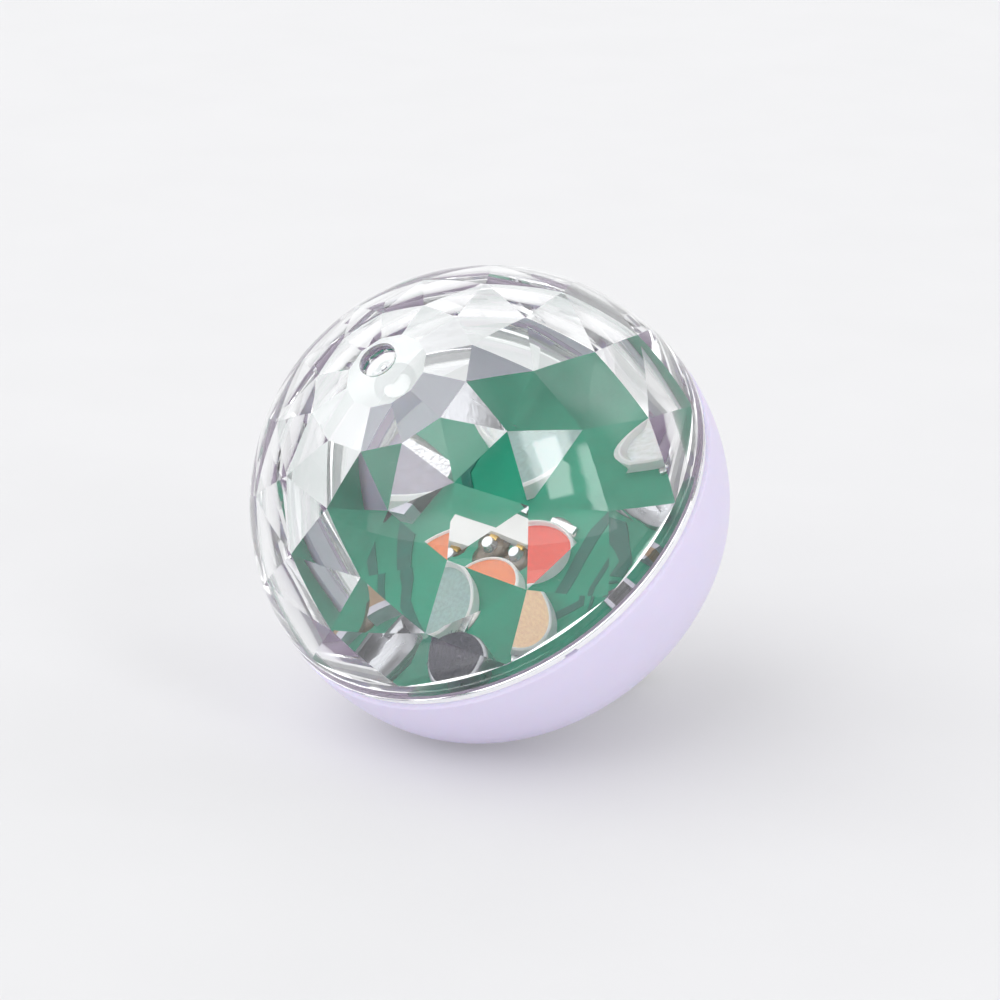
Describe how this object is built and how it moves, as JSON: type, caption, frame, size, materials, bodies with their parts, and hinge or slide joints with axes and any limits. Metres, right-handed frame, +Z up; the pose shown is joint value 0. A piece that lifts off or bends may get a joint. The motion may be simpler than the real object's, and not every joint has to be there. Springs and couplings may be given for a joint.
{
  "type": "mini disco light",
  "caption": "Ball-shaped mini disco light: clear dome with moulded facets over a board with coloured emitters, a lavender bowl below, and a USB plug, lying on its side.",
  "frame": {"origin": "on the table under the centre of the bounding box, with the light lying as it does at rest", "axes": "+X across the plug's wide side and along the rim's level diameter, +Y towards the side the plug points to, +Z up; the ball's own axis leans 39.5 degrees from +Z towards -Y"},
  "size_m": [0.05, 0.0494, 0.0484],
  "materials": {
    "lavender_shell": "smooth, soft gloss, pale lavender",
    "clear_dome": "clear, polished outside, faceted inside",
    "board_green": "solder-masked board with etched tracks, satin",
    "screw_steel": "zinc-plated, worn cross recess",
    "led_white": "moulded white resin, satin",
    "lens_orange": "orange, faintly cloudy",
    "lens_red": "red-orange, faintly cloudy",
    "lens_peach": "pale peach, cloudy",
    "lens_clear": "clear, with the crystals seen through it",
    "lens_white": "milky white",
    "die_yellow": "phosphor-coated crystal, matt",
    "tin": "tinned copper with solder, uneven",
    "mic_metal": "drawn aluminium, satin",
    "mic_core": "dark insulating filling, matt",
    "mic_felt": "black dust felt, fuzzy",
    "plug_steel": "nickel-plated folded steel, satin",
    "tongue_plastic": "white insulating plastic",
    "contact_gold": "gold-flashed contact strips",
    "carrier_white": "white insulating block, matt",
    "solder": "bright solder, rippled",
    "chip_black": "black moulded epoxy, matt",
    "resistor_black": "glazed black film on white ceramic",
    "capacitor_tan": "fired tan ceramic"
  },
  "bodies": {
    "root": {"base_shell": "lavender_shell", "dome": "clear_dome", "main_board": "board_green", "board_screws": "screw_steel", "led_1_body": "led_white", "led_1_lens": "lens_orange", "led_2_body": "led_white", "led_2_lens": "lens_orange", "led_3_body": "led_white", "led_3_lens": "lens_red", "led_4_body": "led_white", "led_4_lens": "lens_peach", "led_5_body": "led_white", "led_5_lens": "lens_clear", "led_6_body": "led_white", "led_6_lens": "lens_clear", "led_7_body": "led_white", "led_7_lens": "lens_white", "led_8_body": "led_white", "led_8_lens": "lens_white", "led_9_body": "led_white", "led_9_lens": "lens_white", "led_dies": "die_yellow", "led_leads": "tin", "microphone_can": "mic_metal", "microphone_core": "mic_core", "microphone_felt": "mic_felt", "microphone_pins": "tin", "usb_shell": "plug_steel", "usb_tongue": "tongue_plastic", "usb_contacts": "contact_gold", "usb_carrier": "carrier_white", "solder_joints": "solder", "controller_chip": "chip_black", "controller_legs": "tin", "resistor_bodies": "resistor_black", "resistor_caps": "tin", "capacitor_bodies": "capacitor_tan", "capacitor_caps": "tin", "transistor_bodies": "chip_black", "transistor_legs": "tin"}
  },
  "joints": []
}
